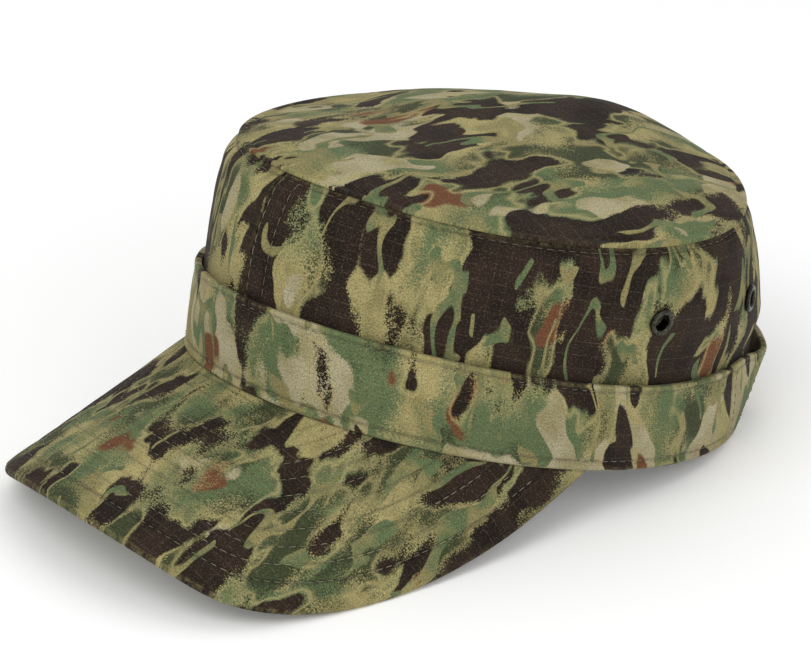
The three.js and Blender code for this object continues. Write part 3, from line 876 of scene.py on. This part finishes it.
# height over the cloth = lift * sin(pi t) - sink, radius narrowing to the ends
def stitchRow(path, normal, style, lift=0.12, sides=6, parts=5):
    run = runLength(path, 0)
    pitch = style["length"] + style["gap"]
    count = max(int(run[-1] / pitch), 1)
    start = (run[-1] - count * pitch + style["gap"]) / 2 + np.arange(count) * pitch
    t = np.linspace(0, 1, parts)
    at = start[:, None] + t[None, :] * style["length"]
    centre = np.stack([np.interp(at, run, path[:, k]) for k in range(3)], axis=-1)
    up = unit(np.stack([np.interp(at, run, normal[:, k]) for k in range(3)], axis=-1))
    ahead = unit(np.gradient(centre, axis=1))
    aside = unit(np.cross(ahead, up))
    radius = style["radius"]
    shape = np.sin(np.pi * np.clip(t, 0.06, 0.94)) ** 0.5
    centre = centre + up * ((lift + radius) * np.sin(np.pi * t) - radius * 0.6)[None, :, None]
    spin = np.arange(sides) / sides * 2 * np.pi
    ring = aside[:, :, None] * np.cos(spin)[:, None] + up[:, :, None] * np.sin(spin)[:, None]
    p = centre[:, :, None] + ring * (radius * shape)[None, :, None, None]
    side = gridFaces(parts, sides, wrapColumns=True)
    block = parts * sides
    body = (side[None] + np.arange(count)[:, None, None] * block).reshape(-1, 4)
    first = (np.arange(sides)[None] + np.arange(count)[:, None] * block)
    last = first + block - sides
    return p.reshape(-1, 3), body.tolist() + first.tolist() + last[:, ::-1].tolist()


def stitchPiece(name, rows, slot, material):
    points, faces, base = [], [], 0
    for p, f in rows:
        points.append(p)
        faces += [[v + base for v in face] for face in f]
        base += len(p)
    piece = addMesh(name, settle(np.concatenate(points)), faces)
    turnOut(piece)
    return finishPiece(piece, slot, material)


# a path on a surface given by two parameters, with the surface's normal from finite differences
def tracedPath(surface, a, h, da, dh):
    path = surface(a, h)
    normal = np.cross(surface(a + da, h) - surface(a - da, h), surface(a, h + dh) - surface(a, h - dh))
    return path, unit(normal)


print("stitches")
ringAngles = np.linspace(-180, 180, 1400)
wallPath = drapedWall(ringAngles[:, None], np.linspace(0.7, 1, 30)[None, :])
wallUp = runLength(wallPath[:, ::-1], 1)[:, ::-1]
stitchLevel = np.array([np.interp(topStitch["below"], wallUp[k, ::-1], np.linspace(0.7, 1, 30)[::-1])
                        for k in range(len(ringAngles))])
path, normal = tracedPath(drapedWall, ringAngles, stitchLevel, 0.4, 0.01)
stitchPiece("stitches_top_seam", [stitchRow(path, normal, topStitch)], "crown_cloth", seamThread)

seamLevels = np.linspace(0.03, 0.985, 200)
frontRows = []
for place in frontStitch["rows"]:
    seamAngles = np.linspace(0, 12, 300)
    x = wallSurface(seamAngles[:, None], seamLevels[None, :], np.zeros((300, 200)))[..., 0]
    at = np.array([np.interp(place, x[:, k], seamAngles) for k in range(200)])
    path, normal = tracedPath(drapedWall, at, seamLevels, 0.3, 0.01)
    frontRows.append(stitchRow(path, normal, frontStitch))
stitchPiece("stitches_front_seam", frontRows, "crown_cloth", paleThread)

# rows along a strip at set shares of its height, and rows across it at set places of its span
def stripRows(surface, place, shares, crossings, reach):
    sewn = []
    u = np.linspace(-reach, reach, 1200)
    for share in shares:
        level = share + 0 * u
        path, normal = tracedPath(lambda a, h: surface(a, h, 0 * a), place(u, level), level, 0.3, 0.02)
        sewn.append(stitchRow(path, normal, bandStitch))
    h = np.linspace(0.08, 0.93, 80)
    for at in crossings:
        path, normal = tracedPath(lambda a, h: surface(a, h, 0 * a), place(at + 0 * h, h), h, 0.3, 0.02)
        sewn.append(stitchRow(path, normal, bandStitch))
    return sewn


lowShare, highShare = bandStitch["low"] / bandHeight, 1 - bandStitch["high"] / bandHeight
rows = stripRows(drapedBand, bandPlace, (lowShare, highShare), (), 0.99)
stitchPiece("stitches_band", rows, "band_cloth", paleThread)
rows = stripRows(strapSurface, strapPlace, (lowShare, highShare), (-0.975, -0.72, 0.72, 0.975), 0.97)
stitchPiece("stitches_strap", rows, "strap_cloth", paleThread)


# rows on the brim: the unrolled edge moved in by a distance, kept where it stays clear of band and edge
def brimRow(inset):
    ahead = unit(np.gradient(flatEdge, axis=0))
    inward = np.stack([ahead[:, 1], -ahead[:, 0]], axis=-1)
    inward = inward * np.sign((inward * (np.array([0.0, 20.0]) - flatEdge)).sum(axis=1, keepdims=True))
    flat = flatEdge + inward * inset
    turn = np.interp(flat[:, 0], flatAcross, brimTurns)
    run = flat[:, 1] - np.interp(turn, brimTurns, flatRoot)
    clear = (edgeDistance(flat) > inset - 0.25) & (run > 5.0)
    turn, run = turn[clear], run[clear]
    path = brimPoints(turn, run, 0 * run)
    _, _, up, _ = brimRulings(turn)
    return path, up


quiltThread = {"length": 3.2, "gap": 0.25, "radius": 0.11}
rows = []
for k in range(quilt["rows"]):
    path, up = brimRow(quilt["first"] + k * quilt["pitch"])
    rows.append(stitchRow(path, up, quiltThread, lift=0.05))
stitchPiece("stitches_brim", rows, "brim_cloth", brimThread)


# Eyelets

# profile of radius and height turned about the wall's outward direction; "edge" is 1 on the ring's crest
def makeEyelet(word, side, label, angle, level):
    centre, axis = eyeletPose(side * angle, level)
    first = unit(np.cross(axis, np.array([0.0, 0.0, 1.0])))
    second = np.cross(axis, first)
    hole, rim, seat, dome = eyelet["hole"] / 2, eyelet["diameter"] / 2, eyelet["seat"], eyelet["dome"]
    barrel = hole + eyelet["barrelWall"]
    washerTop = -wall["thickness"] - seat
    crest, wide = (rim + hole) / 2, (rim - hole) / 2
    arc = np.radians(np.linspace(-8, 188, 19))
    ringRadius = crest + wide * np.cos(arc)
    ringHeight = seat + 0.15 + (dome - 0.1) * np.clip(np.sin(arc), -0.15, 1)
    washer, washerLow = eyelet["washer"] / 2, washerTop - eyelet["washerThickness"]
    inside = [(barrel, seat - 0.05), (barrel, washerTop), (washer, washerTop), (washer - 0.15, washerLow),
              (hole + 0.1, washerLow), (hole, washerTop - 0.2), (hole, -0.5)]
    outside = [(rim - 0.2, seat), (barrel, seat - 0.05)]
    radius = np.concatenate([[r for r, _ in inside], ringRadius[::-1], [r for r, _ in outside]])
    height = np.concatenate([[h for _, h in inside], ringHeight[::-1], [h for _, h in outside]])
    spin = np.linspace(0, 2 * np.pi, eyelet["sides"], endpoint=False)[:, None]
    ring = first * np.cos(spin)[..., None] + second * np.sin(spin)[..., None]
    p = centre + ring * radius[None, :, None] + axis * height[None, :, None]
    crestNear = np.clip((height - seat) / dome, 0, 1)[None, :] + 0 * spin
    faces = gridFaces(*p.shape[:2], wrapRows=True, wrapColumns=True)
    name = "eyelet_" + word + "_" + label
    fields = {"edge": crestNear.ravel()}
    piece = addMesh(name + "_ring", settle(p.reshape(-1, 3)), faces.tolist(), None, fields, merge=1e-7)
    turnOut(piece)
    return finishPiece(piece, "eyelet_metal", eyeletMetal, name)


print("eyelets")
for word, side in (("left", 1), ("right", -1)):
    for label, angle, level in eyeletPlaces:
        makeEyelet(word, side, label, angle, level)


# Table, lights and camera

studio = {
    "cameraAim": (-0.01025, 0.0108, 0.03391), "cameraDistance": 1.2, "azimuth": 47.69, "elevation": 25.04,
    "roll": 0.947, "lens": 157.9, "floor": colour(254, 254, 254), "paperGlow": 0.10, "world": 0.6,
}


def makeFloor():
    size = 6.0
    corners = np.array([[-size, -size, 0], [size, -size, 0], [size, size, 0], [-size, size, 0]])
    floor = addMesh("floor", corners, [[0, 1, 2, 3]])
    material, wire = newMaterial("floor_paper")
    p = wire.make("TexCoord", {}, {}, 3)
    grain = p.make("TexNoise", {}, {"Vector": p, "Scale": 180.0, "Detail": 2.0})
    closeMaterial(wire, {"Base Color": studio["floor"], "Roughness": 0.9 + grain * 0.05,
                         "Emission Color": (1.0, 1.0, 1.0, 1.0), "Emission Strength": studio["paperGlow"]})
    floor.data.materials.append(material)


def areaLight(name, place, aim, size, power, tone=(1.0, 1.0, 1.0)):
    data = bpy.data.lights.new(name, "AREA")
    data.shape = "DISK"
    data.size = size
    data.energy = power
    data.color = tone
    light = bpy.data.objects.new(name, data)
    light.location = place
    direction = np.array(place) - np.array(aim)
    yaw = math.atan2(direction[0], -direction[1])
    light.rotation_euler = (math.acos(direction[2] / np.linalg.norm(direction)), 0, yaw)
    bpy.context.scene.collection.objects.link(light)


def makeCamera():
    a, e, r = (math.radians(studio[k]) for k in ("azimuth", "elevation", "roll"))
    back = np.array([math.sin(a) * math.cos(e), -math.cos(a) * math.cos(e), math.sin(e)])
    data = bpy.data.cameras.new("camera")
    data.lens = studio["lens"]
    data.sensor_width = 36
    data.clip_start = 0.05
    camera = bpy.data.objects.new("camera", data)
    camera.location = np.array(studio["cameraAim"]) + back * studio["cameraDistance"]
    right = np.array([math.cos(a), math.sin(a), 0.0])
    up = np.cross(back, right)
    turnedRight = math.cos(r) * right + math.sin(r) * up
    turnedUp = -math.sin(r) * right + math.cos(r) * up
    matrix = np.eye(4)
    matrix[:3] = np.stack([turnedRight, turnedUp, back, np.array(camera.location)], axis=1)
    camera.matrix_world = Matrix(matrix.tolist())
    bpy.context.scene.collection.objects.link(camera)
    bpy.context.scene.camera = camera


print("studio")
makeFloor()
areaLight("key", (0.2, -1.1, 1.5), (0, 0, 0.05), 1.3, 9)
areaLight("fill", (1.4, -0.1, 0.9), (0, 0, 0.05), 1.2, 4)
areaLight("overhead", (-0.3, 0.5, 1.7), (0, 0, 0.05), 1.6, 5)
world = bpy.data.worlds.new("sky")
world.use_nodes = True
world.node_tree.nodes["Background"].inputs["Color"].default_value = (1, 1, 1, 1)
world.node_tree.nodes["Background"].inputs["Strength"].default_value = studio["world"]
bpy.context.scene.world = world
bpy.context.scene.view_settings.view_transform = "Standard"
makeCamera()
